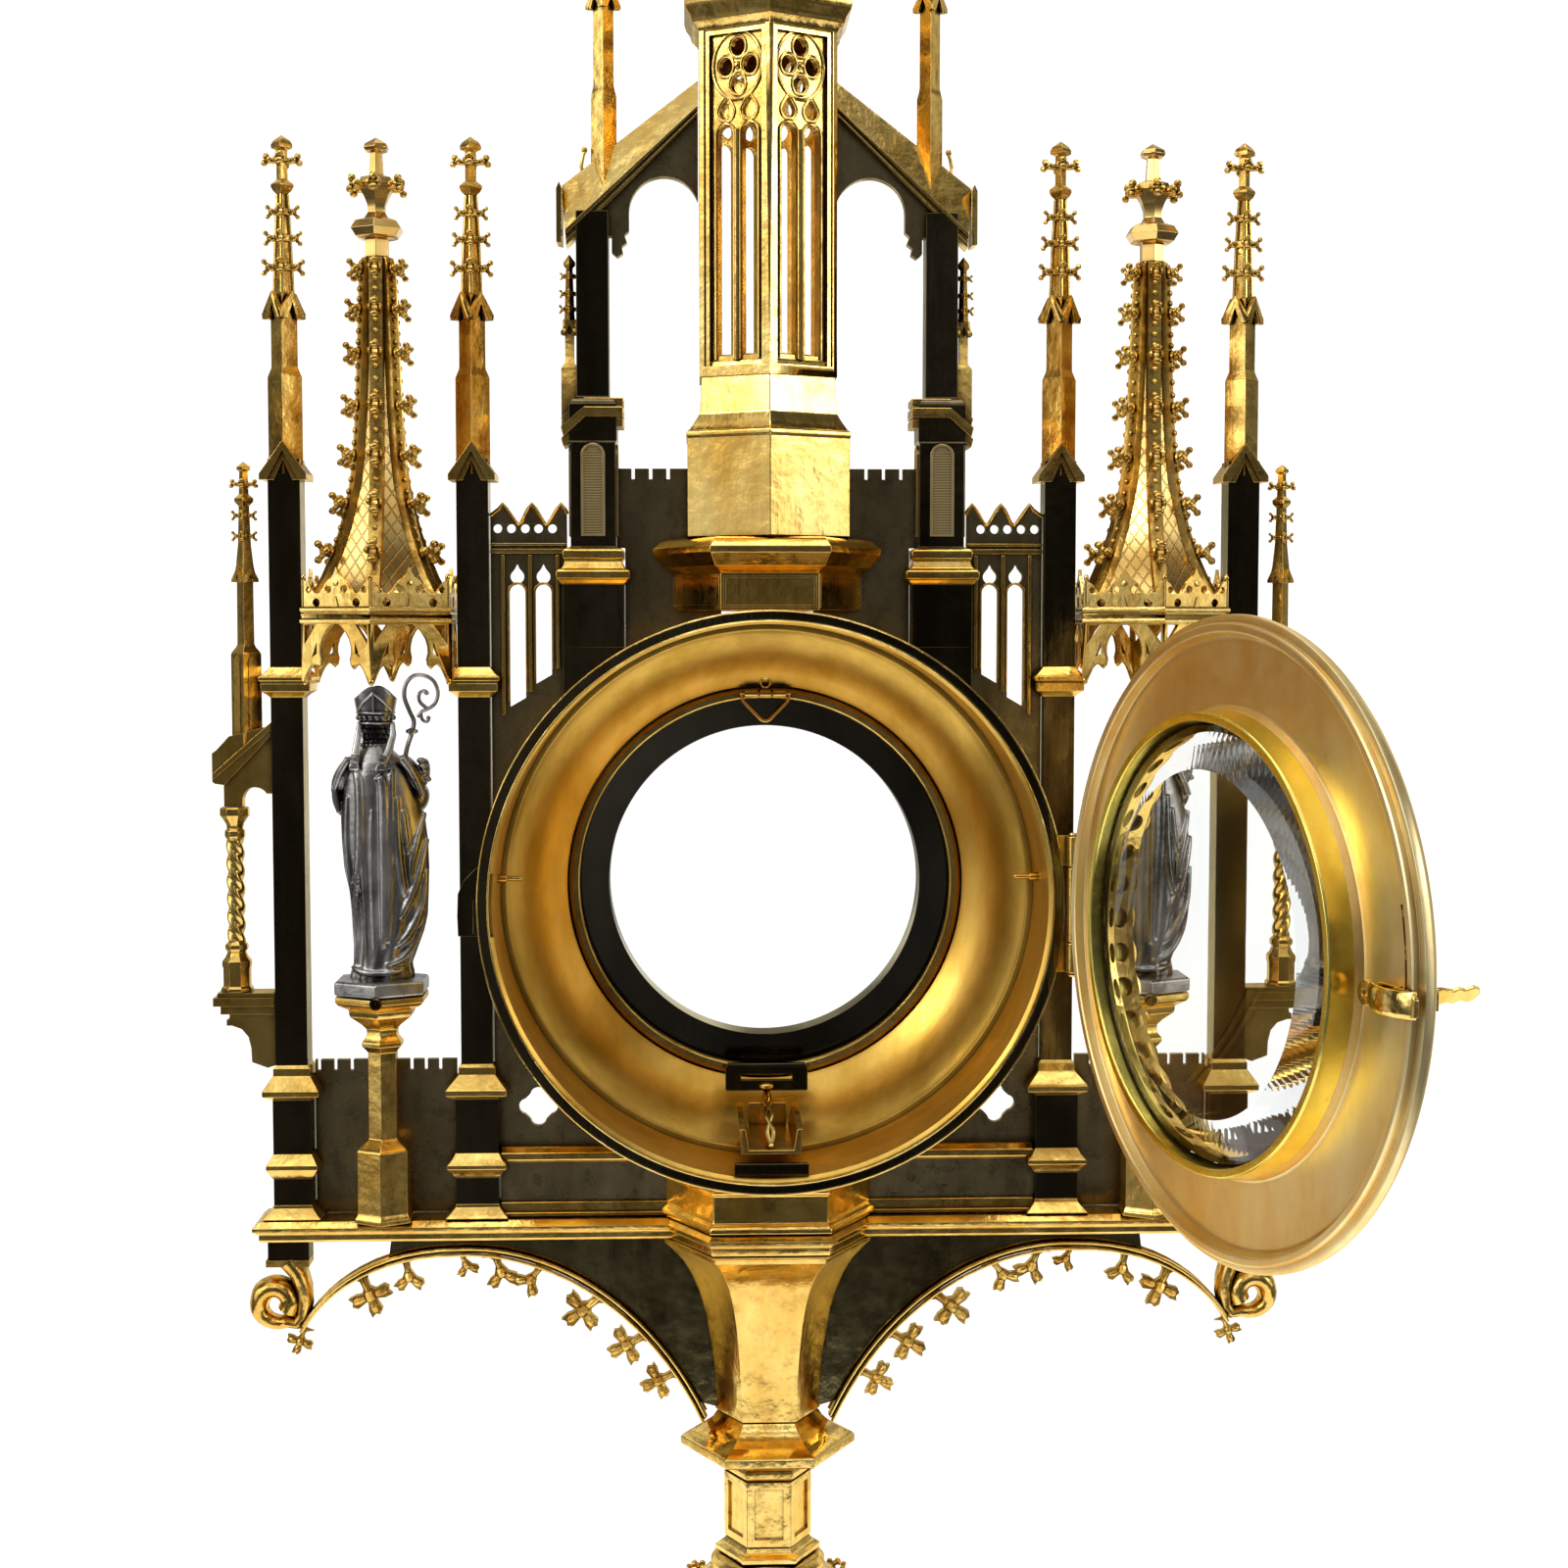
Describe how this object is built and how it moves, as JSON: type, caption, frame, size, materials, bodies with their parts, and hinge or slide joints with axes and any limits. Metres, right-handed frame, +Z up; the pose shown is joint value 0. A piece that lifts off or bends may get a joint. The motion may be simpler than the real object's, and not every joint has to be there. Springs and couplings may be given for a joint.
{
  "type": "tower monstrance",
  "caption": "Gilt neo-Gothic tower monstrance: lobed foot and knopped stem carry a round glazed case with a hinged door between pinnacled turrets, under a spired lantern.",
  "frame": {"origin": "centre of the foot's underside", "axes": "+Z up the stem to the cross, -Y out of the service side where the glazed door hangs, +X to the hinge side of the door"},
  "size_m": [0.3376, 0.3048, 0.84],
  "materials": {
    "gilded_brass": "polished fire-gilt brass, hand burnished, worn",
    "polished_gilt": "bright polished gilt sheet",
    "patinated_gilt": "gilt sheet with darker patina and fine scratches",
    "oxidised_silver": "cast silver, oxidised in the hollows",
    "steel": "plain steel",
    "glass": "clear bevelled glass"
  },
  "bodies": {
    "root": {"arch_bracket_left": "polished_gilt", "arch_bracket_right": "polished_gilt", "base_plate": "gilded_brass", "canopy_left": "gilded_brass", "canopy_right": "gilded_brass", "canopy_spire_left": "gilded_brass", "canopy_spire_right": "gilded_brass", "case_bowl": "gilded_brass", "case_drum": "polished_gilt", "collar": "polished_gilt", "facade_left": "patinated_gilt", "facade_right": "patinated_gilt", "finial_cross": "gilded_brass", "flying_buttress_left": "gilded_brass", "flying_buttress_right": "gilded_brass", "foot": "gilded_brass", "foot_bottom_plate": "patinated_gilt", "front_bezel": "gilded_brass", "front_glass": "glass", "funnel": "gilded_brass", "glass_ring": "gilded_brass", "hinge_pin": "gilded_brass", "knop": "gilded_brass", "lunula_rail": "gilded_brass", "outer_corbel_left": "gilded_brass", "outer_corbel_right": "gilded_brass", "outer_pinnacle_left": "gilded_brass", "outer_pinnacle_right": "gilded_brass", "parapet_left": "patinated_gilt", "parapet_right": "patinated_gilt", "pinnacle_inner_left": "gilded_brass", "pinnacle_inner_right": "gilded_brass", "pinnacle_outer_left": "gilded_brass", "pinnacle_outer_right": "gilded_brass", "plinth": "gilded_brass", "post_inner_left": "patinated_gilt", "post_inner_right": "patinated_gilt", "post_outer_left": "patinated_gilt", "post_outer_right": "patinated_gilt", "statue_column_left": "gilded_brass", "statue_column_right": "gilded_brass", "statue_left": "oxidised_silver", "statue_right": "oxidised_silver", "stem_lower": "gilded_brass", "stem_upper": "polished_gilt", "tall_post_left": "patinated_gilt", "tall_post_right": "patinated_gilt", "tie_rod": "steel", "tower": "polished_gilt", "tower_console": "gilded_brass", "tower_spire": "gilded_brass", "twisted_column_left": "gilded_brass", "twisted_column_right": "gilded_brass"},
    "door": {"door_frame": "polished_gilt", "door_glass": "glass", "door_bezel": "gilded_brass"},
    "latch": {"latch_lever": "gilded_brass", "latch_screw": "gilded_brass"},
    "clasp": {"clasp_wire": "gilded_brass"}
  },
  "joints": [
    {"name": "door_hinge", "type": "hinge", "parent": "root", "child": "door", "pos_m": [0.0876, -0.0426, 0.372], "axis": [0, 0, 1], "range_deg": [-108.4, 15]},
    {"name": "latch_turn", "type": "hinge", "parent": "door", "child": "latch", "pos_m": [0.13877, -0.19641, 0.3685], "axis": [-0.9489, -0.3156, 0], "range_deg": [0, 25]},
    {"name": "clasp_swing", "type": "hinge", "parent": "root", "child": "clasp", "pos_m": [0, 0.0189, 0.4319], "axis": [-1, 0, 0], "range_deg": [0, 100]}
  ]
}
